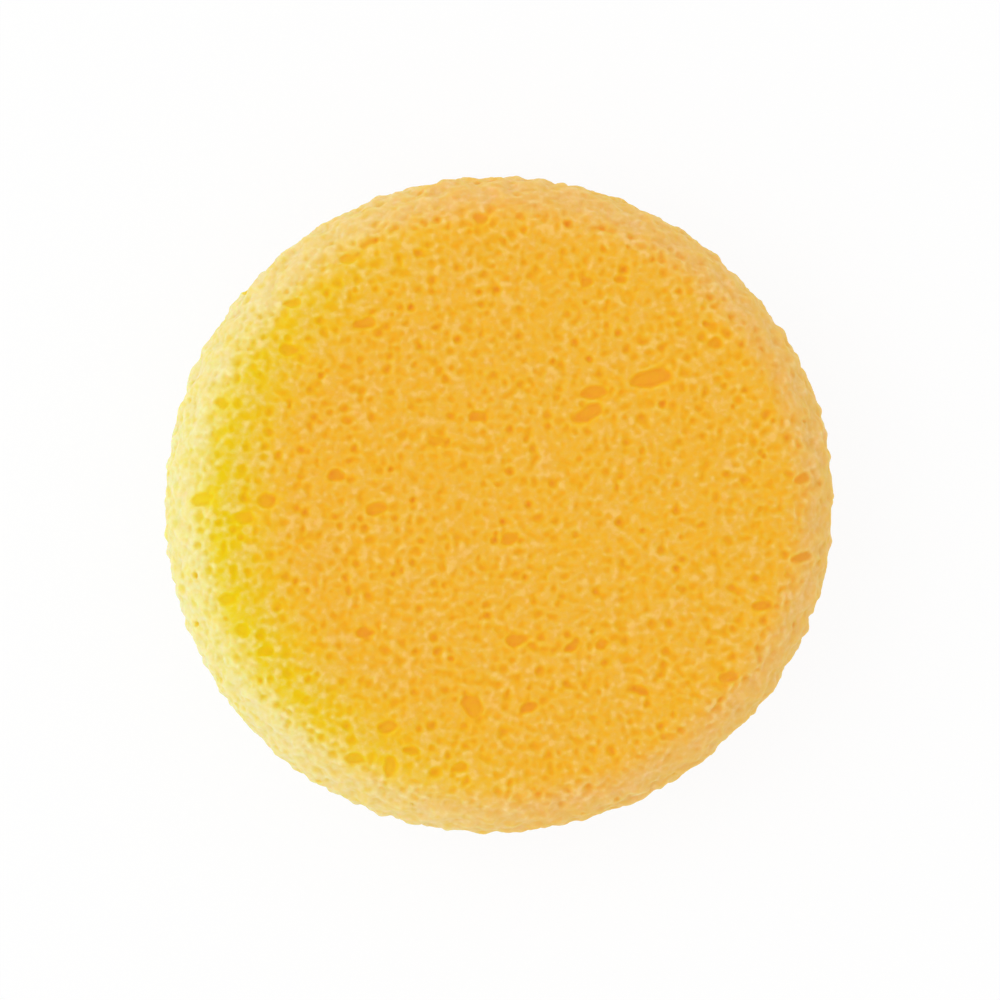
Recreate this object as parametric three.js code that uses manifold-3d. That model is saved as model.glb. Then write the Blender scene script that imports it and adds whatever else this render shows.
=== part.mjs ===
// A round makeup sponge: one disc of open-cell foam, cut a little out of round, with both of its
// shoulders rounded over and its skin pitted where large bubbles in the foam were cut open.
//
// Millimetres, +Z up. The sponge lies on its lower face, and the origin is at the middle of that face.
// Seen from above, with +X to the right, the upper face is the one that takes up the makeup.

import * as THREE from "three";
import { mergeVertices } from "three/addons/utils/BufferGeometryUtils.js";
import Module from "manifold-3d";

// The disc
const DIAMETER = 75; // the mean, across the wall
const THICKNESS = 25;
const SHOULDER_RADIUS = 6.5;

// The disc is cut out of round: its radius swells by OVAL both ways along one line, and by LOBE at three
// places. The turns are bearings in degrees from +X.
const OVAL = 0.4;
const OVAL_TURN = 10;
const LOBE = 0.15;
const LOBE_TURN = 119;

// The foam: the pitch of its cells, which the sizes of its voids are counted in
const CELL = 1.6;

// Voids that stand out on the upper face and its shoulder. A place is the way to it along the skin from the
// middle of the face, as a share of the flat part's radius, so that over 1 it is on the shoulder, and a
// bearing in degrees from +X. The mouth is so many cells long and wide, and turn is the bearing of its long
// side.
const FACE_VOIDS = [
  { share: 0.71, bearing: 40, long: 3.2, wide: 1.4, turn: 12 },
  { share: 0.53, bearing: 50, long: 2.1, wide: 1.1, turn: 14 },
  { share: 0.46, bearing: 46, long: 2.3, wide: 1.2, turn: 25 },
  { share: 0.74, bearing: 262, long: 2, wide: 1.6, turn: 130 },
  { share: 0.75, bearing: 278, long: 1.5, wide: 0.8, turn: 25 },
  { share: 0.33, bearing: 105, long: 1.6, wide: 0.9, turn: 5 },
  { share: 0.45, bearing: 182, long: 1.7, wide: 1.1, turn: 15 },
  { share: 0.13, bearing: 285, long: 1.5, wide: 0.9, turn: 20 },
  { share: 0.82, bearing: 127, long: 1.7, wide: 0.9, turn: 15 },
  { share: 0.93, bearing: 62, long: 1.1, wide: 0.8, turn: 0 },
  { share: 0.6, bearing: 170, long: 1.5, wide: 0.9, turn: 0 },
  { share: 0.67, bearing: 223, long: 1.4, wide: 0.8, turn: 5 },
  { share: 0.5, bearing: 277, long: 1.8, wide: 1, turn: 5 },
  { share: 0.58, bearing: 297, long: 1.6, wide: 0.7, turn: 45 },
  { share: 0.85, bearing: 307, long: 1.4, wide: 0.8, turn: 165 },
  { share: 0.33, bearing: 136, long: 1.1, wide: 0.8, turn: 10 },
  { share: 0.87, bearing: 69, long: 1, wide: 0.8, turn: 0 },
  { share: 0.97, bearing: 37, long: 1.1, wide: 0.8, turn: 0 },
  { share: 0.63, bearing: 306, long: 1, wide: 0.8, turn: 10 },
  { share: 0.95, bearing: 144, long: 1.6, wide: 0.9, turn: 170 },
  { share: 0.84, bearing: 179, long: 1.5, wide: 1.2, turn: 0 },
  { share: 0.92, bearing: 183, long: 1.4, wide: 1.1, turn: 10 },
  { share: 0.99, bearing: 212, long: 1.3, wide: 0.8, turn: 10 },
  { share: 0.9, bearing: 243, long: 1.6, wide: 0.9, turn: 10 },
  { share: 0.95, bearing: 250, long: 1.2, wide: 0.7, turn: 0 },
  { share: 0.97, bearing: 261, long: 1.3, wide: 0.8, turn: 15 },
  { share: 1.05, bearing: 94, long: 1.1, wide: 0.9, turn: 0 },
  { share: 1.07, bearing: 116, long: 1.3, wide: 0.7, turn: 10 },
  { share: 1.05, bearing: 122, long: 1.4, wide: 0.8, turn: 10 },
  { share: 1.05, bearing: 136, long: 1.5, wide: 0.7, turn: 10 },
  { share: 1.07, bearing: 160, long: 1.2, wide: 0.9, turn: 0 },
  { share: 1.08, bearing: 179, long: 1.8, wide: 1.1, turn: 20 },
  { share: 1.04, bearing: 199, long: 1.4, wide: 0.9, turn: 0 },
  { share: 1.03, bearing: 206, long: 1.2, wide: 1, turn: 150 },
  { share: 1.06, bearing: 240, long: 1.5, wide: 0.9, turn: 5 },
  { share: 1.03, bearing: 247, long: 1.6, wide: 1, turn: 75 },
  { share: 1.04, bearing: 323, long: 1.8, wide: 1, turn: 15 },
  { share: 1.01, bearing: 339, long: 1.6, wide: 0.9, turn: 10 },
  { share: 1.1, bearing: 350, long: 1.8, wide: 0.8, turn: 5 },
  { share: 1.09, bearing: 5, long: 1.4, wide: 0.9, turn: 20 },
];

// Voids strewn over the rest of the skin: the lower face, its shoulder and the wall
const STREWN_VOIDS = 44;
const SHORTEST_VOID = 0.9; // in cells
const LONGEST_VOID = 2.2;
const SLIMMEST_VOID = 0.55; // least width, as a share of the length
const PLAIN_MIDDLE = 3; // radius of the patch without voids at the middle of the lower face
const SEED = 20;
const MOST_DRAWS = 2000;

// Every void is part of an ellipsoid whose middle lies under the skin, so its mouth is a little drawn in
const VOID_DEPTH = 0.6; // as a share of the mouth's length
const VOID_SINK = 0.35; // how far under the skin the middle lies, as a share of the upright half-axis

// Facets
const AROUND = 64;
const SHOULDER_STEPS = 6;
const VOID_SIDES = 8;
const VOID_RINGS = 6;

const FOAM_COLOUR = 0xf2b53a;

const radius = DIAMETER / 2;
const shoulder = Math.min(SHOULDER_RADIUS, THICKNESS / 2, radius);
const flatRadius = radius - shoulder;

const wasm = await Module();
wasm.setup();

// A closed geometry as a solid. Only positions count, and triangles without area are dropped.
function solidFrom(geometry) {
  const bare = geometry.clone();
  bare.deleteAttribute("normal");
  bare.deleteAttribute("uv");
  const merged = mergeVertices(bare);
  const triangles = [];
  for (let i = 0; i < merged.index.count; i += 3) {
    const corners = [0, 1, 2].map((k) => merged.index.getX(i + k));
    if (new Set(corners).size === 3) triangles.push(...corners);
  }
  const mesh = new wasm.Mesh({
    numProp: 3,
    vertProperties: new Float32Array(merged.attributes.position.array),
    triVerts: new Uint32Array(triangles),
  });
  return new wasm.Manifold(mesh);
}

function geometryFrom(solid) {
  const mesh = solid.getMesh();
  const geometry = new THREE.BufferGeometry();
  geometry.setAttribute("position", new THREE.BufferAttribute(mesh.vertProperties, 3));
  geometry.setIndex(new THREE.BufferAttribute(mesh.triVerts, 1));
  geometry.computeVertexNormals();
  return geometry;
}

// Half of the disc's section, from the middle of the lower face, out round the wall and in to the middle of
// the upper face. x is the distance from the axis and y the height.
function halfSection() {
  const section = new THREE.Path();
  section.moveTo(0, 0);
  section.lineTo(flatRadius, 0);
  section.absarc(flatRadius, shoulder, shoulder, -Math.PI / 2, 0);
  section.absarc(flatRadius, THICKNESS - shoulder, shoulder, 0, Math.PI / 2);
  section.lineTo(0, THICKNESS);
  return section;
}

// How much larger the outline is than a circle at a bearing in radians, as a factor
function swell(bearing) {
  const oval = OVAL * Math.cos(2 * (bearing - THREE.MathUtils.degToRad(OVAL_TURN)));
  const lobe = LOBE * Math.cos(3 * (bearing - THREE.MathUtils.degToRad(LOBE_TURN)));
  return 1 + (oval + lobe) / radius;
}

// A point of the disc, from its distance out on a round disc, its bearing and its height
function discPoint(out, bearing, height) {
  const reach = out * swell(bearing);
  return new THREE.Vector3(reach * Math.cos(bearing), reach * Math.sin(bearing), height);
}

// The section turned about the axis and pressed out of round
function plainDisc(section) {
  const disc = new THREE.LatheGeometry(section.getPoints(SHOULDER_STEPS), AROUND);
  disc.rotateX(Math.PI / 2);
  const places = disc.attributes.position;
  for (let i = 0; i < places.count; i++) {
    const [x, y] = [places.getX(i), places.getY(i)];
    const point = discPoint(Math.hypot(x, y), Math.atan2(y, x), places.getZ(i));
    places.setXYZ(i, point.x, point.y, point.z);
  }
  return disc;
}

// The ellipsoid that cuts one void: place is the middle of its mouth, outward the skin's normal there, along
// the way that its mouth is longest, and length and width the mouth's size
function voidGeometry({ place, outward, along, length, width }) {
  const drawnIn = Math.sqrt(1 - VOID_SINK ** 2);
  const upright = (VOID_DEPTH * length) / (1 + VOID_SINK);
  const ellipsoid = new THREE.SphereGeometry(1, VOID_SIDES, VOID_RINGS).rotateX(Math.PI / 2);
  ellipsoid.scale(length / 2 / drawnIn, width / 2 / drawnIn, upright);
  const across = new THREE.Vector3().crossVectors(outward, along);
  const frame = new THREE.Matrix4().makeBasis(along, across, outward);
  frame.setPosition(place.clone().addScaledVector(outward, -VOID_SINK * upright));
  return ellipsoid.applyMatrix4(frame);
}

// A place on the skin, from the distance to it along the section and its bearing in radians: how far it is from
// the axis, the point itself, and the skin's normal there
function skinSpot(section, distance, bearing) {
  const share = distance / section.getLength();
  const { x: out, y: height } = section.getPoint(share);
  const tangent = section.getTangent(share);
  const [east, north] = [Math.cos(bearing), Math.sin(bearing)];
  const outward = new THREE.Vector3(east * tangent.y, north * tangent.y, -tangent.x);
  return { out, place: discPoint(out, bearing, height), outward };
}

// The voids that stand out on the upper face and its shoulder
function faceVoids(section) {
  return FACE_VOIDS.map(({ share, bearing, long, wide, turn }) => {
    const distance = section.getLength() - share * flatRadius;
    const { place, outward } = skinSpot(section, distance, THREE.MathUtils.degToRad(bearing));
    const heading = THREE.MathUtils.degToRad(turn);
    const level = new THREE.Vector3(Math.cos(heading), Math.sin(heading), 0);
    const along = level.projectOnPlane(outward).normalize();
    return { place, outward, along, length: long * CELL, width: wide * CELL };
  });
}

// A repeatable stream of numbers between two values
function drawing(seed) {
  const [factor, step, modulus] = [1664525, 1013904223, 2 ** 32];
  let state = seed;
  return (low, high) => {
    state = (state * factor + step) % modulus;
    return low + ((high - low) * state) / modulus;
  };
}

// A void somewhere on the skin, from the lower face's plain middle round to the top of the wall. The place is
// drawn evenly along the section and given up as often as the skin there is shorter round than the wall, so
// the voids lie evenly over the area.
function strewnVoid(section, draw) {
  const first = PLAIN_MIDDLE + (LONGEST_VOID * CELL) / 2;
  const last = section.getLength() - flatRadius - (Math.PI / 2) * shoulder;
  const distance = draw(first, last);
  const bearing = draw(0, 2 * Math.PI);
  const length = CELL * draw(SHORTEST_VOID, LONGEST_VOID);
  const width = length * draw(SLIMMEST_VOID, 1);
  const turn = draw(0, Math.PI);
  const { out, place, outward } = skinSpot(section, distance, bearing);
  if (draw(0, radius) > out) return null;

  const sideways = new THREE.Vector3(-Math.sin(bearing), Math.cos(bearing), 0);
  return { place, outward, along: sideways.applyAxisAngle(outward, turn), length, width };
}

// Whether a cell of foam is left between a void and each of the others
function isClear(pit, others) {
  return others.every((other) => {
    const reach = (pit.length + other.length) / 2;
    return pit.place.distanceTo(other.place) > reach + CELL;
  });
}

// The voids that stand out, and then the strewn ones, each clear of all that are there
function allVoids(section) {
  const draw = drawing(SEED);
  const voids = faceVoids(section);
  const wanted = voids.length + STREWN_VOIDS;
  for (let i = 0; i < MOST_DRAWS && voids.length < wanted; i++) {
    const pit = strewnVoid(section, draw);
    if (pit && isClear(pit, voids)) voids.push(pit);
  }
  return voids;
}

function foamDisc() {
  const section = halfSection();
  let foam = solidFrom(plainDisc(section));
  for (const pit of allVoids(section)) {
    foam = foam.subtract(solidFrom(voidGeometry(pit)));
  }
  const mesh = new THREE.Mesh(
    geometryFrom(foam),
    new THREE.MeshStandardMaterial({ color: FOAM_COLOUR, roughness: 0.95, metalness: 0 }),
  );
  mesh.name = "foam_disc";
  return mesh;
}

const makeupSponge = new THREE.Group();
makeupSponge.name = "makeup_sponge";
makeupSponge.add(foamDisc());

export default makeupSponge;
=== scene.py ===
"""A round makeup sponge of yellow open-cell foam, lying on a white floor and seen from above."""

import logging
import math
from collections.abc import Callable, Iterator
from dataclasses import dataclass
from enum import Enum

import bmesh
import bpy
import numpy as np
from mathutils import Euler, Matrix, Vector, noise


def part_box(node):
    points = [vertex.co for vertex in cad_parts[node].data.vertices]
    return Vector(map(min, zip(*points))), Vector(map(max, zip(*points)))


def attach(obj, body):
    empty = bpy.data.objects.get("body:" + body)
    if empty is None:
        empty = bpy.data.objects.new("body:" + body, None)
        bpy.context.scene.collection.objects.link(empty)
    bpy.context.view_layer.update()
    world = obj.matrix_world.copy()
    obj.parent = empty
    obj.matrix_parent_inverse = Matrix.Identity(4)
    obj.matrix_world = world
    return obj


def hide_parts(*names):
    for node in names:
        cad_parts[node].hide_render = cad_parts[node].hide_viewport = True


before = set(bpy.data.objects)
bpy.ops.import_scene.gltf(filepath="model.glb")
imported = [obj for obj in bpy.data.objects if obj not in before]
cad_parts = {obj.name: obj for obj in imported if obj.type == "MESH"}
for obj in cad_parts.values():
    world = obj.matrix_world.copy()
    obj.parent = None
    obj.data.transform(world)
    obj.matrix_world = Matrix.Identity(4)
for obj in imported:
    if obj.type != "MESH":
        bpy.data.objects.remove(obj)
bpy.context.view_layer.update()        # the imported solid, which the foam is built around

log = logging.getLogger("makeup_sponge")

MM = 0.001  # metres in a millimetre: the foam is worked out in millimetres
NODE = "foam_disc"
BODY = "root"
SLOT = "open_cell_foam"
BAKE_MAP = "OFBake"
RELIEF, TURNED = "relief", "turned"  # the values that the foam's net records for its material
PHOTO_SIDE = 1000  # pixels
WHITE = (1.0, 1.0, 1.0, 1.0)
TINY = 1e-9  # a length that keeps what is divided by it finite
ASKEW_TURNS = (35, 20, 50)  # degrees about X, Y and Z by which bubbles and noise are turned from the disc
ASKEW = np.array(Euler([math.radians(turn) for turn in ASKEW_TURNS]).to_matrix())


def linear(hex_colour: str) -> tuple[float, float, float, float]:
    """Turns an sRGB hex colour to the linear colour that shaders take.

    Args:
        hex_colour: six hex digits, such as "f2b53a".

    Returns:
        Red, green, blue and an alpha of 1.
    """
    parts = [int(hex_colour[i : i + 2], 16) / 255 for i in (0, 2, 4)]
    red, green, blue = (c / 12.92 if c <= 0.04045 else ((c + 0.055) / 1.055) ** 2.4 for c in parts)
    return red, green, blue, 1.0


def add_node(
    tree: bpy.types.NodeTree, kind: str, inputs: dict[str | int, object] | None = None, **settings: object
) -> bpy.types.Node:
    """Adds a shader node with its settings and links.

    Args:
        tree: the node tree that the node goes in.
        kind: the node's type, such as "ShaderNodeMix".
        inputs: for an input's name or number, a value or the output socket that feeds it.
        settings: the node's own properties.

    Returns:
        The new node.
    """
    node = tree.nodes.new(kind)
    for name, value in settings.items():
        setattr(node, name, value)
    for socket, value in (inputs or {}).items():
        if isinstance(value, bpy.types.NodeSocket):
            tree.links.new(value, node.inputs[socket])
        else:
            node.inputs[socket].default_value = value
    return node


def new_material(name: str) -> tuple[bpy.types.Material, bpy.types.NodeTree]:
    """Makes a material with no nodes in it yet.

    Args:
        name: the material's name.

    Returns:
        The material and its node tree.
    """
    material = bpy.data.materials.new(name)
    material.use_nodes = True
    material.node_tree.nodes.clear()
    return material, material.node_tree


def new_object(name: str, bm: bmesh.types.BMesh) -> bpy.types.Object:
    """Puts a finished bmesh in the scene and frees it.

    Args:
        name: the object's name.
        bm: the shape.

    Returns:
        The object, at the origin.
    """
    mesh = bpy.data.meshes.new(name)
    bm.to_mesh(mesh)
    bm.free()
    piece = bpy.data.objects.new(name, mesh)
    bpy.context.scene.collection.objects.link(piece)
    return piece


def smooth_step(values: np.ndarray, start: float, end: float) -> np.ndarray:
    """Turns values to shares that rise smoothly from 0 at start to 1 at end."""
    share = np.clip((values - start) / (end - start), 0, 1)
    return share * share * (3 - 2 * share)


def read_noise(kind: Callable[[Vector], float | Vector], points: np.ndarray, size: float) -> np.ndarray:
    """Reads noise on the foam. The noise's lattice is set askew, so that no flat face lies along it.

    Args:
        kind: noise.noise for numbers, or noise.noise_vector for shifts.
        points: places on the foam, one a row.
        size: the size of the noise's features.

    Returns:
        A number or a shift for each point.
    """
    return np.array([kind(Vector(place)) for place in points @ ASKEW / size])


class Half(Enum):
    """The halves that the skin is mapped in, which meet halfway up the wall, each with its disc's middle."""

    LOWER = 0.29
    UPPER = 0.71


@dataclass(frozen=True)
class Section:
    """Half of the disc's section: a slab whose edges are rounded over. Sizes are in millimetres."""

    radius: float
    thickness: float
    shoulder: float = 6.5  # the radius of the rounded edges

    @property
    def flat(self) -> float:
        """The radius of the flat part of each face."""
        return self.radius - self.shoulder

    @property
    def length(self) -> float:
        """The length along the skin, from the middle of one face to the middle of the other."""
        return 2 * self.flat + math.pi * self.shoulder + self.thickness - 2 * self.shoulder

    def at(self, along: float) -> tuple[float, float, float, float]:
        """Finds a place on the skin.

        Args:
            along: the distance along the skin from the middle of the lower face.

        Returns:
            The distance from the axis, the height, and the outward and upward parts of the skin's normal.
        """
        if along > self.length / 2:
            out, height, normal_out, normal_up = self.at(self.length - along)
            return out, self.thickness - height, normal_out, -normal_up
        turn = min(max(along - self.flat, 0) / self.shoulder, math.pi / 2)
        rise = max(along - self.flat - self.shoulder * math.pi / 2, 0)
        normal_out, normal_up = math.sin(turn), -math.cos(turn)
        out = min(along, self.flat) + self.shoulder * normal_out
        return out, self.shoulder * (1 + normal_up) + rise, normal_out, normal_up

    def snap(self, points: np.ndarray) -> tuple[np.ndarray, np.ndarray]:
        """Moves points onto the skin.

        Args:
            points: places near the skin, one a row.

        Returns:
            The places on the skin, and its outward normals there.
        """
        out = np.maximum(np.hypot(points[:, 0], points[:, 1]), TINY)
        spine = points.copy()
        spine[:, :2] *= np.minimum(1, self.flat / out)[:, None]
        spine[:, 2] = np.clip(points[:, 2], self.shoulder, self.thickness - self.shoulder)
        normals = points - spine
        normals /= np.linalg.norm(normals, axis=1)[:, None]
        return spine + self.shoulder * normals, normals

    def wall_share(self, points: np.ndarray) -> np.ndarray:
        """Gives how near points on the skin are to the middle of the wall: 0 on the faces, and 1 there."""
        inside = np.minimum(points[:, 2], self.thickness - points[:, 2])
        return smooth_step(inside, self.shoulder / 2, self.thickness / 2)

    def reach(self, points: np.ndarray, half: Half) -> np.ndarray:
        """Measures how far points on the skin are from the middle of a face, along the skin.

        Args:
            points: places on the skin, one a row.
            half: the half whose face counts.

        Returns:
            A distance for each point.
        """
        up = points[:, 2] if half is Half.LOWER else self.thickness - points[:, 2]
        out = np.hypot(points[:, 0], points[:, 1])
        turn = np.arctan2(np.maximum(out - self.flat, 0), np.maximum(self.shoulder - up, 0))
        return np.minimum(out, self.flat) + self.shoulder * turn + np.maximum(up - self.shoulder, 0)


@dataclass(frozen=True)
class Outline:
    """How the disc's outline departs from a circle: it is a little oval, with three low corners.

    Sizes are in millimetres, and bearings in degrees from +X.
    """

    radius: float
    oval: float = 0.4  # how far the long ends stand out
    oval_turn: float = 10
    lobe: float = 0.15  # how far the corners stand out
    lobe_turn: float = 119

    def swell(self, bearing: np.ndarray | float) -> np.ndarray | float:
        """Gives how much larger than a circle the outline is at a bearing in radians, as a factor."""
        oval = self.oval * np.cos(2 * (bearing - math.radians(self.oval_turn)))
        lobe = self.lobe * np.cos(3 * (bearing - math.radians(self.lobe_turn)))
        return 1 + (oval + lobe) / self.radius


@dataclass(eq=False)
class Bubbles:
    """The foam's cells of one size: a block of bubbles that repeats, set askew to the disc.

    A bubble lies in each box of a cubic lattice, shifted and sized by chance, and then pushed away from its
    neighbours as in rising foam. Sizes are in millimetres.
    """

    pitch: float
    radii: tuple[float, float]
    seed: int
    across: int = 24  # boxes along a side of the block
    stray: float = 0.5  # the furthest that a bubble is from the middle of its box, in boxes
    apart: float = 0.95  # how far apart bubbles push each other, in boxes
    settlings: int = 8  # times that the bubbles push each other
    lip: float = 1.0  # the share of a bubble's depth over which its cut edge is worn round
    least_open: float = -0.4  # the share of its depth that the least open one shows: below 0 it stays shut

    def __post_init__(self) -> None:
        """Draws the bubbles' places and sizes, and lets them settle."""
        draw = np.random.default_rng(self.seed)
        block = (self.across,) * 3
        shifts = draw.uniform(-self.stray, self.stray, (*block, 3))
        for _ in range(self.settlings):
            shifts = np.clip(shifts + self.push(shifts), -self.stray, self.stray)
        self.block = block
        self.shifts = shifts.reshape(-1, 3)
        self.sizes = draw.uniform(*self.radii, len(self.shifts))
        self.opened = draw.uniform(self.least_open, 1, len(self.shifts))

    def push(self, shifts: np.ndarray) -> np.ndarray:
        """Works out how the bubbles push each other apart.

        Args:
            shifts: how far each bubble is from the middle of its box, in boxes.

        Returns:
            A step for each bubble.
        """
        total = np.zeros_like(shifts)
        for step in np.ndindex(3, 3, 3):
            way = np.array(step) - 1
            if not way.any():
                continue
            gap = shifts - np.roll(shifts, tuple(-way), axis=(0, 1, 2)) - way
            far = np.linalg.norm(gap, axis=-1, keepdims=True)
            total += gap / far * np.maximum(self.apart - far, 0) / 2
        return total

    def exits(self, points: np.ndarray, inward: np.ndarray) -> np.ndarray:
        """Finds how far rays run inside the bubbles that they start in.

        Args:
            points: where the rays start.
            inward: the way that they run.

        Returns:
            For each ray, the distance to the far side of the bubble that holds it longest, or 0.
        """
        lattice = points @ ASKEW / self.pitch
        way = inward @ ASKEW
        home = np.floor(lattice).astype(int)
        furthest = np.zeros(len(points))
        for step in np.ndindex(3, 3, 3):
            box = home + np.array(step) - 1
            row = np.ravel_multi_index(tuple((box % self.across).T), self.block)
            middle = (box + 0.5 + self.shifts[row] - lattice) * self.pitch
            along = np.einsum("ij,ij->i", middle, way)
            far = np.einsum("ij,ij->i", middle, middle)
            room = self.sizes[row] ** 2
            leave = along + np.sqrt(np.maximum(room + along**2 - far, 0))
            shown = self.opened[row] * smooth_step(1 - far / room, 0, self.lip)
            np.maximum(furthest, leave * shown, out=furthest)
        return furthest


@dataclass(frozen=True)
class Void:
    """A large bubble that was cut open: part of an ellipsoid whose middle lies under the skin."""

    place: np.ndarray
    outward: np.ndarray
    along: np.ndarray
    length: float
    width: float
    depth: float = 0.6  # as a share of the length
    sink: float = 0.35  # how far under the skin the middle lies, as a share of the upright half-axis
    lip: float = 0.6  # the share of the depth over which the cut edge is worn round

    def exits(self, points: np.ndarray, inward: np.ndarray) -> np.ndarray:
        """Finds how far rays that start at the mouth run inside the void.

        Args:
            points: where the rays start.
            inward: the way that they run.

        Returns:
            For each ray, the distance to the void's far side, or 0 where it starts outside.
        """
        drawn_in = math.sqrt(1 - self.sink**2)
        upright = self.depth * self.length / (1 + self.sink)
        axes = np.stack([self.along, np.cross(self.outward, self.along), self.outward])
        halves = np.array([self.length / 2 / drawn_in, self.width / 2 / drawn_in, upright])
        start = (points - self.place + self.sink * upright * self.outward) @ axes.T / halves
        way = inward @ axes.T / halves
        square = np.einsum("ij,ij->i", way, way)
        cross = np.einsum("ij,ij->i", start, way)
        rest = 1 - np.einsum("ij,ij->i", start, start)
        root = np.sqrt(np.maximum(cross**2 + square * rest, 0))
        return (root - cross) / square * smooth_step(rest, 0, self.lip)


# Voids that stand out on the upper face and its shoulder: the way there along the skin from the middle of
# the face, as a share of the flat part's radius, the bearing in degrees from +X, the mouth's length and
# width in cells, and the bearing of its long side.
FACE_VOIDS = (
    (0.71, 40, 3.2, 1.4, 12),
    (0.53, 50, 2.1, 1.1, 14),
    (0.46, 46, 2.3, 1.2, 25),
    (0.74, 262, 2.0, 1.6, 130),
    (0.75, 278, 1.5, 0.8, 25),
    (0.33, 105, 1.6, 0.9, 5),
    (0.45, 182, 1.7, 1.1, 15),
    (0.13, 285, 1.5, 0.9, 20),
    (0.82, 127, 1.7, 0.9, 15),
    (0.93, 62, 1.1, 0.8, 0),
    (0.6, 170, 1.5, 0.9, 0),
    (0.67, 223, 1.4, 0.8, 5),
    (0.5, 277, 1.8, 1.0, 5),
    (0.58, 297, 1.6, 0.7, 45),
    (0.85, 307, 1.4, 0.8, 165),
    (0.33, 136, 1.1, 0.8, 10),
    (0.87, 69, 1.0, 0.8, 0),
    (0.97, 37, 1.1, 0.8, 0),
    (0.63, 306, 1.0, 0.8, 10),
    (0.95, 144, 1.6, 0.9, 170),
    (0.84, 179, 1.5, 1.2, 0),
    (0.92, 183, 1.4, 1.1, 10),
    (0.99, 212, 1.3, 0.8, 10),
    (0.9, 243, 1.6, 0.9, 10),
    (0.95, 250, 1.2, 0.7, 0),
    (0.97, 261, 1.3, 0.8, 15),
    (1.05, 94, 1.1, 0.9, 0),
    (1.07, 116, 1.3, 0.7, 10),
    (1.05, 122, 1.4, 0.8, 10),
    (1.05, 136, 1.5, 0.7, 10),
    (1.07, 160, 1.2, 0.9, 0),
    (1.08, 179, 1.8, 1.1, 20),
    (1.04, 199, 1.4, 0.9, 0),
    (1.03, 206, 1.2, 1.0, 150),
    (1.06, 240, 1.5, 0.9, 5),
    (1.03, 247, 1.6, 1.0, 75),
    (1.04, 323, 1.8, 1.0, 15),
    (1.01, 339, 1.6, 0.9, 10),
    (1.1, 350, 1.8, 0.8, 5),
    (1.09, 5, 1.4, 0.9, 20),
)


@dataclass
class VoidField:
    """The large voids: those that stand out on the upper face and shoulder, and those strewn elsewhere."""

    section: Section
    outline: Outline
    cell: float = 1.6  # mm across a cell, the measure of the voids
    strewn: int = 44
    shortest: float = 0.9  # in cells
    longest: float = 2.2
    slimmest: float = 0.55  # least width, as a share of the length
    plain_middle: float = 3  # mm from the middle of the lower face that have no void
    seed: int = 20
    most_draws: int = 2000

    def spot(self, along: float, bearing: float) -> tuple[float, np.ndarray, np.ndarray]:
        """Finds a place on the skin.

        Args:
            along: the distance along the skin from the middle of the lower face.
            bearing: the bearing in radians.

        Returns:
            The distance from the axis on a round disc, the place itself, and the skin's normal there.
        """
        out, height, normal_out, normal_up = self.section.at(along)
        way = np.array([math.cos(bearing), math.sin(bearing), 0])
        up = np.array([0, 0, 1])
        place = out * self.outline.swell(bearing) * way + height * up
        return out, place, normal_out * way + normal_up * up

    def on_face(self) -> Iterator[Void]:
        """Gives the voids that stand out on the upper face and its shoulder."""
        for share, bearing, long, wide, turn in FACE_VOIDS:
            along = self.section.length - share * self.section.flat
            _, place, outward = self.spot(along, math.radians(bearing))
            heading = math.radians(turn)
            level = np.array([math.cos(heading), math.sin(heading), 0])
            sideways = level - outward * (level @ outward)
            sideways /= np.linalg.norm(sideways)
            yield Void(place, outward, sideways, long * self.cell, wide * self.cell)

    def drawing(self) -> Callable[[float, float], float]:
        """Gives a repeatable draw between two values, the one that places the solid's voids."""
        factor, step, modulus = 1664525, 1013904223, 2**32
        state = self.seed

        def draw(low: float, high: float) -> float:
            """Draws the next number between two values."""
            nonlocal state
            state = (state * factor + step) % modulus
            return low + (high - low) * state / modulus

        return draw

    def draw_one(self, draw: Callable[[float, float], float]) -> Void | None:
        """Draws a void somewhere between the lower face's plain middle and the top of the wall.

        Args:
            draw: the repeatable draw.

        Returns:
            The void, or nothing where the draw falls out, as it does more often near the axis.
        """
        section = self.section
        first = self.plain_middle + self.longest * self.cell / 2
        along = draw(first, section.length - section.flat - math.pi / 2 * section.shoulder)
        bearing = draw(0, 2 * math.pi)
        length = self.cell * draw(self.shortest, self.longest)
        width = length * draw(self.slimmest, 1)
        turn = draw(0, math.pi)
        out, place, outward = self.spot(along, bearing)
        if draw(0, section.radius) > out:
            return None
        level = Vector((-math.sin(bearing), math.cos(bearing), 0))
        sideways = Matrix.Rotation(turn, 3, Vector(outward)) @ level
        return Void(place, outward, np.array(sideways), length, width)

    def all(self) -> list[Void]:
        """Gives every void, with a cell of foam between each strewn one and the rest."""
        draw = self.drawing()
        voids = list(self.on_face())
        wanted = len(voids) + self.strewn
        for _ in range(self.most_draws):
            void = self.draw_one(draw)
            if void and all(
                np.linalg.norm(void.place - other.place) > (void.length + other.length) / 2 + self.cell
                for other in voids
            ):
                voids.append(void)
            if len(voids) == wanted:
                break
        return voids


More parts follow.
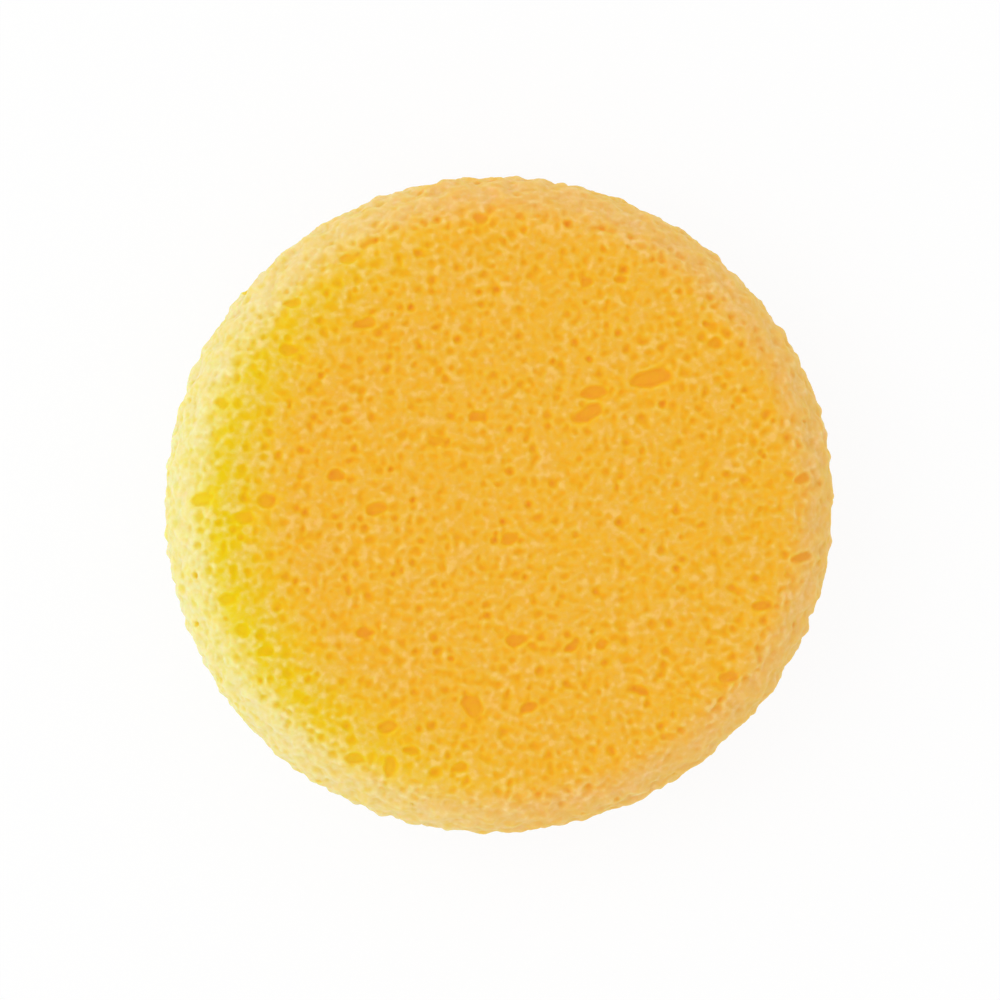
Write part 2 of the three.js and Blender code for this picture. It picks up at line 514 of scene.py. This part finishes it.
@dataclass(frozen=True)
class OpenCellFoam:
    """Flexible polyurethane foam, cut on its faces and ground round at its edges.

    The foam is dyed through and lets light in a little way. Its colour paints light as well: a cell's bottom,
    where light goes from wall to wall, is painted a deeper amber as painted shade, and the thin walls between
    cells are painted pale as a painted glow.
    Grinding leaves the edges smoother than the cut faces, and they are painted paler as a painted sheen; the
    side towards the lamp is painted lemon as painted light.
    """

    # painted shade and glow: each ramp runs from a cell's bottom, painted a deeper amber as painted shade, to
    # the crests of its walls, painted pale as a painted glow
    relief: tuple[float, ...] = (-0.75, -0.32, -0.16, -0.065, 0.0, 0.065, 0.15)  # mm over what lies around
    golden: tuple[str, ...] = ("fe963e", "fbb32c", "f9b927", "f6bc30", "f4be3e", "f2bf4b", "f5c566")
    # painted light: the lemon colours paint the side towards the lamp as lit
    lemon: tuple[str, ...] = ("f4d61c", "f2d914", "f0da0c", "eed816", "edd838", "ecd95e", "f0e084")
    # painted sheen: the turned edges take paler colours as a painted sheen, a little lower in red as painted
    # shade at the rim
    golden_edge_sheen: tuple[str, ...] = ("f0aa3c", "f0b246", "f0bb59", "f0be64", "f0c06c", "f1c47a", "f4cc90")
    lemon_edge_lit_sheen: tuple[str, ...] = ("efd430", "efd742", "efdd6c", "efe28a", "f0e5a0", "f0e8ac", "f4edba")
    sheen_start: float = 0.04  # how far the skin has turned from flat, as a sine, where it begins to pale
    sheen_end: float = 0.68
    sheen_most: float = 0.9  # the share of the edge's colours at most
    # painted light: the side towards the lamp, at this bearing, is painted lemon towards the rim
    lit_side_bearing: float = 188  # degrees from +X
    lit_side_start: float = 0.58  # share of the radius
    lit_side_end: float = 0.94
    lit_side_spread: float = 0.95  # cosine of the angle from that bearing, within which the drift is full
    mottles: tuple[tuple[float, float], ...] = ((3.5, 0.05), (0.5, 0.045))  # mm across, and mm of relief
    noise_detail: float = 2.0  # finer sizes in each noise
    noise_span: tuple[float, float] = (0.3, 0.7)  # that most of a noise lies in
    grit: float = 0.25  # mm across
    grit_depth: float = 0.1  # mm
    grit_strength: float = 0.2
    glow: tuple[float, float, float] = (2.0, 1.2, 0.5)  # mm that red, green and blue light goes in
    roughness: float = 0.95
    ior: float = 1.45
    shine: float = 0.1  # far below solid plastic's, because the skin is mostly air

    def ramp(
        self, tree: bpy.types.NodeTree, relief: bpy.types.NodeSocket, stops: tuple[str, ...]
    ) -> bpy.types.NodeSocket:
        """Adds the ramp from the bottoms of the cells, painted deeper as painted shade, to the crests of
        their walls, painted pale as a painted glow.

        Args:
            tree: the material's node tree.
            relief: how far the surface stands over what lies around, in millimetres.
            stops: the colours, one for each of the finish's own steps of relief.

        Returns:
            The colour.
        """
        low, high = self.relief[0], self.relief[-1]
        share = add_node(
            tree, "ShaderNodeMapRange", {"Value": relief, "From Min": low, "From Max": high}
        ).outputs["Result"]
        ramp = add_node(tree, "ShaderNodeValToRGB", {"Fac": share})
        elements = ramp.color_ramp.elements
        for height in self.relief[1:-1]:
            elements.new((height - low) / (high - low))
        for element, stop in zip(elements, stops):
            element.color = linear(stop)
        return ramp.outputs["Color"]

    def mottled(
        self, tree: bpy.types.NodeTree, place: bpy.types.NodeSocket, relief: bpy.types.NodeSocket
    ) -> bpy.types.NodeSocket:
        """Adds the mottles, which count as relief, so that they shift the colour along its ramp.

        Args:
            tree: the material's node tree.
            place: where on the foam.
            relief: how far the surface stands over what lies around, in millimetres.

        Returns:
            The relief with the mottles added.
        """
        low, high = self.noise_span
        for size, swing in self.mottles:
            blotch = add_node(
                tree,
                "ShaderNodeTexNoise",
                {"Vector": place, "Scale": 1 / (size * MM), "Detail": self.noise_detail},
            ).outputs["Fac"]
            tone = add_node(
                tree,
                "ShaderNodeMapRange",
                {"Value": blotch, "From Min": low, "From Max": high, "To Min": -swing, "To Max": swing},
            ).outputs["Result"]
            relief = add_node(tree, "ShaderNodeMath", {0: relief, 1: tone}, operation="ADD").outputs[0]
        return relief

    def lit_side_share(
        self, tree: bpy.types.NodeTree, place: bpy.types.NodeSocket, radius: float
    ) -> bpy.types.NodeSocket:
        """Adds painted light that turns the side towards the lamp lemon, growing outwards on that side of the
        disc.

        Args:
            tree: the material's node tree.
            place: where on the foam.
            radius: the disc's radius in millimetres.

        Returns:
            The share of painted lemon light, from 0 to 1.
        """
        heading = math.radians(self.lit_side_bearing)
        across = add_node(
            tree, "ShaderNodeVectorMath", {0: place, 1: (1, 1, 0)}, operation="MULTIPLY"
        ).outputs["Vector"]
        out = add_node(tree, "ShaderNodeVectorMath", {0: across}, operation="LENGTH").outputs["Value"]
        way = add_node(tree, "ShaderNodeVectorMath", {0: across}, operation="NORMALIZE").outputs["Vector"]
        side = add_node(
            tree,
            "ShaderNodeVectorMath",
            {0: way, 1: (math.cos(heading), math.sin(heading), 0)},
            operation="DOT_PRODUCT",
        ).outputs["Value"]
        start, end = self.lit_side_start * radius * MM, self.lit_side_end * radius * MM
        outward = add_node(
            tree,
            "ShaderNodeMapRange",
            {"Value": out, "From Min": start, "From Max": end},
            interpolation_type="SMOOTHSTEP",
        ).outputs["Result"]
        return add_node(
            tree, "ShaderNodeMapRange", {"Value": side, "From Max": self.lit_side_spread, "To Max": outward}
        ).outputs["Result"]

    def colour(
        self, tree: bpy.types.NodeTree, place: bpy.types.NodeSocket, radius: float
    ) -> bpy.types.NodeSocket:
        """Adds the foam's colour: painted shade and glow by the carving, a painted sheen by the turn of the
        skin, and painted light on the side towards the lamp.

        Args:
            tree: the material's node tree.
            place: where on the foam.
            radius: the disc's radius in millimetres.

        Returns:
            The colour.
        """
        carved = add_node(tree, "ShaderNodeAttribute", attribute_name=RELIEF).outputs["Fac"]
        turned = add_node(tree, "ShaderNodeAttribute", attribute_name=TURNED).outputs["Fac"]
        relief = self.mottled(tree, place, carved)
        # painted light: the side towards the lamp is painted lemon
        lit_side_share = self.lit_side_share(tree, place, radius)
        face, edge = (
            add_node(
                tree,
                "ShaderNodeMix",
                {0: lit_side_share, 6: self.ramp(tree, relief, golden), 7: self.ramp(tree, relief, lemon)},
                data_type="RGBA",
            ).outputs[2]
            for golden, lemon in ((self.golden, self.lemon), (self.golden_edge_sheen, self.lemon_edge_lit_sheen))
        )
        # painted sheen: the turned edges are painted paler, a little lower in red as painted shade
        sheen_share = add_node(
            tree,
            "ShaderNodeMapRange",
            {
                "Value": turned,
                "From Min": self.sheen_start,
                "From Max": self.sheen_end,
                "To Max": self.sheen_most,
            },
            interpolation_type="SMOOTHSTEP",
        ).outputs["Result"]
        return add_node(tree, "ShaderNodeMix", {0: sheen_share, 6: face, 7: edge}, data_type="RGBA").outputs[2]

    def build(self, radius: float) -> bpy.types.Material:
        """Makes the material.

        Args:
            radius: the disc's radius in millimetres.

        Returns:
            The material.
        """
        material, tree = new_material(SLOT)
        place = add_node(tree, "ShaderNodeTexCoord").outputs["Object"]
        grit = add_node(
            tree,
            "ShaderNodeTexNoise",
            {"Vector": place, "Scale": 1 / (self.grit * MM), "Detail": self.noise_detail},
        ).outputs["Fac"]
        bump = add_node(
            tree,
            "ShaderNodeBump",
            {"Height": grit, "Strength": self.grit_strength, "Distance": self.grit_depth * MM},
        ).outputs["Normal"]
        shader = add_node(
            tree,
            "ShaderNodeBsdfPrincipled",
            {
                "Base Color": self.colour(tree, place, radius),
                "Roughness": self.roughness,
                "IOR": self.ior,
                "Specular IOR Level": self.shine,
                "Subsurface Weight": 1.0,
                "Subsurface Radius": self.glow,
                "Subsurface Scale": MM,
                "Normal": bump,
            },
        ).outputs["BSDF"]
        add_node(tree, "ShaderNodeOutputMaterial", {"Surface": shader})
        return material


@dataclass
class SkinNet:
    """The net of vertices, edges and faces that covers the foam. Places are in millimetres."""

    mesh: bpy.types.Mesh
    spacing: float  # from a vertex to the next
    map_radius: float = 0.28  # of each half's disc, in a map whose side is 1

    def __post_init__(self) -> None:
        """Reads which vertices are neighbours."""
        edges = np.empty(len(self.mesh.edges) * 2, int)
        self.mesh.edges.foreach_get("vertices", edges)
        self.starts, self.ends = edges.reshape(-1, 2).T
        self.count = len(self.mesh.vertices)
        self.valence = np.bincount(edges, minlength=self.count)

    def points(self) -> np.ndarray:
        """Gives the place of each vertex, one a row."""
        points = np.empty(self.count * 3)
        self.mesh.vertices.foreach_get("co", points)
        return points.reshape(-1, 3)

    def place(self, points: np.ndarray) -> None:
        """Moves the vertices, and from here on the mesh is in metres."""
        self.mesh.vertices.foreach_set("co", (points * MM).ravel())
        self.mesh.shade_smooth()
        self.mesh.update()

    def record(self, name: str, values: np.ndarray) -> None:
        """Keeps a value for each vertex, for the material to read."""
        self.mesh.attributes.new(name, "FLOAT", "POINT").data.foreach_set("value", values)

    def averaged(self, values: np.ndarray, spread: float) -> np.ndarray:
        """Averages values over what lies around each vertex.

        Half of a value moves to the next vertices each time, so the spread is half the spacing times the root
        of how often that is done.

        Args:
            values: one for each vertex.
            spread: how far the average reaches, as a standard deviation.

        Returns:
            The averages.
        """
        for _ in range(round((2 * spread / self.spacing) ** 2)):
            around = np.bincount(self.starts, values[self.ends], self.count)
            around += np.bincount(self.ends, values[self.starts], self.count)
            values = (values + around / self.valence) / 2
        return values

    def lay_out(self, section: Section, plain: np.ndarray) -> None:
        """Maps the skin as two discs, each unrolled from the middle of a face to halfway up the wall.

        Args:
            section: the disc's section.
            plain: where each vertex lies on the plain round skin.
        """
        corners = np.empty(len(self.mesh.loops), int)
        self.mesh.loops.foreach_get("vertex_index", corners)
        sides = np.empty(len(self.mesh.polygons), int)
        self.mesh.polygons.foreach_get("loop_total", sides)
        face = np.repeat(np.arange(len(sides)), sides)
        height = np.bincount(face, plain[corners, 2]) / sides
        upper = (height > section.thickness / 2)[face]
        bearing = np.arctan2(plain[:, 1], plain[:, 0])
        way = np.column_stack([np.cos(bearing), np.sin(bearing)])
        places = np.empty((len(corners), 2))
        for half in Half:
            rows = np.flatnonzero(upper == (half is Half.UPPER))
            reach = section.reach(plain, half)[corners[rows]] / (section.length / 2)
            places[rows] = half.value + self.map_radius * reach[:, None] * way[corners[rows]]
        self.mesh.uv_layers.new(name=BAKE_MAP).data.foreach_set("uv", places.ravel())


@dataclass
class FoamDisc:
    """The sponge: a disc of foam with every open cell of its skin carved out. Sizes are in millimetres."""

    section: Section
    outline: Outline
    finish: OpenCellFoam
    voxel: float = 0.2  # the spacing of the net
    sides: int = 256  # of the cylinder that the disc starts from
    shoulder_steps: int = 16  # in which its edges are rounded over
    cells: tuple[Bubbles, ...] = (
        Bubbles(pitch=1.2, radii=(0.42, 0.78), seed=5),
        Bubbles(pitch=0.75, radii=(0.25, 0.48), seed=2),
    )
    pinholes: Bubbles = Bubbles(pitch=3.2, radii=(0.35, 0.55), seed=7, lip=0.8, least_open=0.5)
    most_bubbles: int = 2  # that a ray goes through, from cell to cell
    deepest_cell: float = 0.65
    bowl: float = 0.75  # how deep a cell is when its depth begins to level off
    deepest_void: float = 0.4  # on the faces, where voids are cut shallow
    deepest_wall_void: float = 0.9
    deepest_pinhole: float = 0.75
    cleared: float = 0.8  # the share of the cells' depth that is missing inside a void
    worn: float = 0.55  # the share of a cell's depth that grinding takes from the edge
    worn_start: float = 0.25  # how far the skin has turned from flat, as a sine, where that begins
    worn_end: float = 0.75
    warp: float = 0.25  # how far the voids' outlines stray
    warp_size: float = 1.2
    warp_seed: int = 1  # without one, Blender's shifts follow the clock
    ragged: float = 0.3  # how uneven the cells' depth is
    ragged_size: float = 0.46
    bumpy: float = 0.58  # how lumpy the edge is
    bumpy_size: float = 1.8
    cell_softness: float = 0.2  # how far the edges of the cells are rounded off
    void_softness: float = 0.1
    surroundings: float = 1.0  # how far around a place its relief and its turn are judged

    def blank(self) -> bpy.types.Object:
        """Turns a cylinder's edges round and lays an even net of faces over it.

        Returns:
            The plain disc, in millimetres.
        """
        bm = bmesh.new()
        bmesh.ops.create_cone(
            bm,
            cap_ends=True,
            segments=self.sides,
            radius1=self.section.radius,
            radius2=self.section.radius,
            depth=self.section.thickness,
        )
        bmesh.ops.translate(bm, verts=bm.verts, vec=(0, 0, self.section.thickness / 2))
        rims = [e for e in bm.edges if abs(e.verts[0].co.z - e.verts[1].co.z) < self.voxel]
        bmesh.ops.bevel(
            bm,
            geom=rims,
            offset=self.section.shoulder,
            segments=self.shoulder_steps,
            profile=0.5,
            affect="EDGES",
            material=-1,
        )
        disc = new_object("foam", bm)
        remesh = disc.modifiers.new("even_net", "REMESH")
        remesh.mode = "VOXEL"
        remesh.voxel_size = self.voxel
        evaluated = disc.evaluated_get(bpy.context.evaluated_depsgraph_get())
        mesh = bpy.data.meshes.new_from_object(evaluated)
        disc.modifiers.clear()
        old, disc.data = disc.data, mesh
        bpy.data.meshes.remove(old)
        return disc

    def cell_depths(self, skin: np.ndarray, inward: np.ndarray) -> np.ndarray:
        """Follows rays from the skin through the cells that open into each other.

        Args:
            skin: where the rays start.
            inward: the way that they run.

        Returns:
            How deep each ray gets.
        """
        depth = np.zeros(len(skin))
        live = np.arange(len(skin))
        for _ in range(self.most_bubbles):
            here = skin[live] + inward[live] * depth[live, None]
            run = np.max([bubbles.exits(here, inward[live]) for bubbles in self.cells], axis=0)
            depth[live] += run
            live = live[run > 0]
        return self.deepest_cell * (1 - np.exp(-depth / self.bowl))

    def void_depths(self, skin: np.ndarray, inward: np.ndarray, wall: np.ndarray) -> np.ndarray:
        """Finds how deep the pinholes and the large voids are under each point of the skin.

        Args:
            skin: where the rays start.
            inward: the way that they run.
            wall: how near each point is to the middle of the wall, from 0 to 1.

        Returns:
            How deep each ray gets.
        """
        depth = np.zeros(len(skin))
        for void in VoidField(self.section, self.outline).all():
            near = np.flatnonzero(np.linalg.norm(skin - void.place, axis=1) < void.length)
            run = np.maximum(void.exits(skin[near], inward[near]), 0)
            depth[near] = np.maximum(depth[near], run)
        deepest = self.deepest_void + (self.deepest_wall_void - self.deepest_void) * wall
        pinholes = self.pinholes.exits(skin, inward)
        return np.maximum(
            deepest * (1 - np.exp(-depth / deepest)),
            self.deepest_pinhole * (1 - np.exp(-pinholes / self.deepest_pinhole)),
        )

    def kept(self, turned: np.ndarray, wall: np.ndarray, hollow: np.ndarray) -> np.ndarray:
        """Gives the share of the cells' depth that is left, which is less on the edges and inside the voids.

        Args:
            turned: how far the skin has turned from flat, as a sine.
            wall: how near each point is to the middle of the wall, from 0 to 1.
            hollow: how deep the voids are.

        Returns:
            A share for each point.
        """
        worn = smooth_step(turned, self.worn_start, self.worn_end) * self.worn * (1 - wall)
        cleared = self.cleared * smooth_step(hollow, 0, self.deepest_void / 2) * (1 - wall / 2)
        return (1 - worn) * (1 - cleared)

    def carve(self, disc: bpy.types.Object) -> None:
        """Presses the disc out of round, and carves the voids and the cells.

        Args:
            disc: the plain disc.
        """
        net = SkinNet(disc.data, self.voxel)
        plain, normals = self.section.snap(net.points())
        skin = plain.copy()
        skin[:, :2] *= self.outline.swell(np.arctan2(plain[:, 1], plain[:, 0]))[:, None]
        turned = np.hypot(normals[:, 0], normals[:, 1])
        wall = self.section.wall_share(plain)
        noise.seed_set(self.warp_seed)
        strays = self.warp * read_noise(noise.noise_vector, skin, self.warp_size)
        hollow = self.void_depths(skin + strays, -normals, wall)
        cells = self.cell_depths(skin - normals * hollow[:, None], -normals)
        cells += self.ragged * read_noise(noise.noise, skin, self.ragged_size)
        cells *= self.kept(turned, wall, hollow)
        depth = net.averaged(hollow, self.void_softness) + net.averaged(cells, self.cell_softness)
        lumps = self.bumpy * read_noise(noise.noise, skin, self.bumpy_size) * turned
        net.place(skin - normals * (depth + lumps)[:, None])
        # the material paints shade in the hollows and a glow on the crests by this relief, and a sheen by the
        # turn
        net.record(RELIEF, net.averaged(cells, self.surroundings) - depth)
        net.record(TURNED, net.averaged(turned, self.surroundings))
        net.lay_out(self.section, plain)

    def build(self) -> bpy.types.Object:
        """Makes the sponge and ties it to the frame.

        Returns:
            The sponge.
        """
        disc = self.blank()
        self.carve(disc)
        disc.data.materials.append(self.finish.build(self.section.radius))
        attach(disc, BODY)
        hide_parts(NODE)
        return disc


def seen_white(tree: bpy.types.NodeTree) -> bpy.types.NodeSocket:
    """Adds what tells rays that look at the background from those that light the object.

    Args:
        tree: the node tree of the floor or the room.

    Returns:
        1 for a ray from the camera, or from a mirror or glass, and 0 for the rest.
    """
    path = add_node(tree, "ShaderNodeLightPath").outputs
    share = path["Is Camera Ray"]
    for ray in ("Is Glossy Ray", "Is Transmission Ray"):
        share = add_node(
            tree, "ShaderNodeMath", {0: share, 1: path[ray]}, operation="ADD", use_clamp=True
        ).outputs[0]
    return share


@dataclass(frozen=True)
class WhiteFloor:
    """A white paper sweep, lit to white."""

    paper: str = "fafafa"
    side: float = 6.0  # metres
    lit: float = 0.9  # the share of plain white that the camera sees, beside the paper's own shade

    def build(self) -> bpy.types.Object:
        """Makes the floor.

        Returns:
            The floor.
        """
        bm = bmesh.new()
        bmesh.ops.create_grid(bm, x_segments=1, y_segments=1, size=self.side / 2)
        floor = new_object("floor", bm)
        material, tree = new_material("white_paper")
        paper = add_node(tree, "ShaderNodeBsdfDiffuse", {"Color": linear(self.paper)}).outputs["BSDF"]
        white = add_node(tree, "ShaderNodeEmission", {"Color": WHITE, "Strength": 1.0}).outputs[0]
        share = add_node(
            tree, "ShaderNodeMath", {0: seen_white(tree), 1: self.lit}, operation="MULTIPLY"
        ).outputs[0]
        shader = add_node(tree, "ShaderNodeMixShader", {0: share, 1: paper, 2: white}).outputs[0]
        add_node(tree, "ShaderNodeOutputMaterial", {"Surface": shader})
        floor.data.materials.append(material)
        return floor


@dataclass(frozen=True)
class Studio:
    """An even white room with one large soft lamp to the left. Sizes are in metres."""

    room: float = 0.845  # the strength of the room's own light
    lamp: float = 2.0  # watts
    lamp_place: tuple[float, float, float] = (-0.52, 0.08, 0.84)
    lamp_side: float = 0.6

    def build(self) -> bpy.types.Object:
        """Makes the room's light and the lamp.

        Returns:
            The lamp.
        """
        scene = bpy.context.scene
        scene.view_settings.view_transform = "Standard"
        world = bpy.data.worlds.new("white_room")
        world.use_nodes = True
        tree = world.node_tree
        tree.nodes.clear()
        light = add_node(tree, "ShaderNodeBackground", {"Color": WHITE, "Strength": self.room}).outputs[0]
        white = add_node(tree, "ShaderNodeBackground", {"Color": WHITE, "Strength": 1.0}).outputs[0]
        mixed = add_node(tree, "ShaderNodeMixShader", {0: seen_white(tree), 1: light, 2: white}).outputs[0]
        add_node(tree, "ShaderNodeOutputWorld", {"Surface": mixed})
        scene.world = world

        lamp = bpy.data.lights.new("soft_lamp", "AREA")
        lamp.energy = self.lamp
        lamp.size = self.lamp_side
        holder = bpy.data.objects.new("soft_lamp", lamp)
        holder.location = self.lamp_place
        holder.rotation_euler = Vector(self.lamp_place).to_track_quat("Z", "Y").to_euler()
        scene.collection.objects.link(holder)
        return holder


@dataclass(frozen=True)
class PhotoCamera:
    """The photograph's view: from almost straight above, leaning a little to the left."""

    section: Section
    lens: float = 150  # mm
    lean: float = 2.0  # degrees
    disc_middle: tuple[float, float] = (498.7, 504.5)  # pixels of the photograph
    disc_radius: float = 330.1

    def build(self) -> bpy.types.Object:
        """Places the camera so that the disc fills the photograph's outline.

        Returns:
            The camera.
        """
        camera = bpy.data.cameras.new("photo_camera")
        camera.lens = self.lens
        scale = self.section.radius * MM / self.disc_radius  # metres in a pixel
        distance = scale * PHOTO_SIDE * self.lens / camera.sensor_width
        lean = math.radians(self.lean)
        back = Vector((-math.sin(lean), 0, math.cos(lean)))
        up = Vector((0, 1, 0))
        right = up.cross(back)
        half = PHOTO_SIDE / 2
        off = right * (half - self.disc_middle[0]) + up * (self.disc_middle[1] - half)
        widest = Vector((0, 0, (self.section.thickness - self.section.shoulder) * MM))
        holder = bpy.data.objects.new("photo_camera", camera)
        turn = Matrix((right, up, back)).transposed().to_4x4()
        holder.matrix_world = Matrix.Translation(widest + off * scale + back * distance) @ turn
        bpy.context.scene.collection.objects.link(holder)
        bpy.context.scene.camera = holder
        return holder


def main() -> None:
    """Builds the scene."""
    logging.basicConfig(level=logging.INFO)
    low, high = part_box(NODE)
    size = (high - low) / MM
    section = Section(radius=(size.x + size.y) / 4, thickness=size.z)
    foam = FoamDisc(section, Outline(section.radius), OpenCellFoam())
    for part in (PhotoCamera(section), foam, Studio(), WhiteFloor()):
        log.info("built %s", part.build().name)


if __name__ == "__main__":
    main()
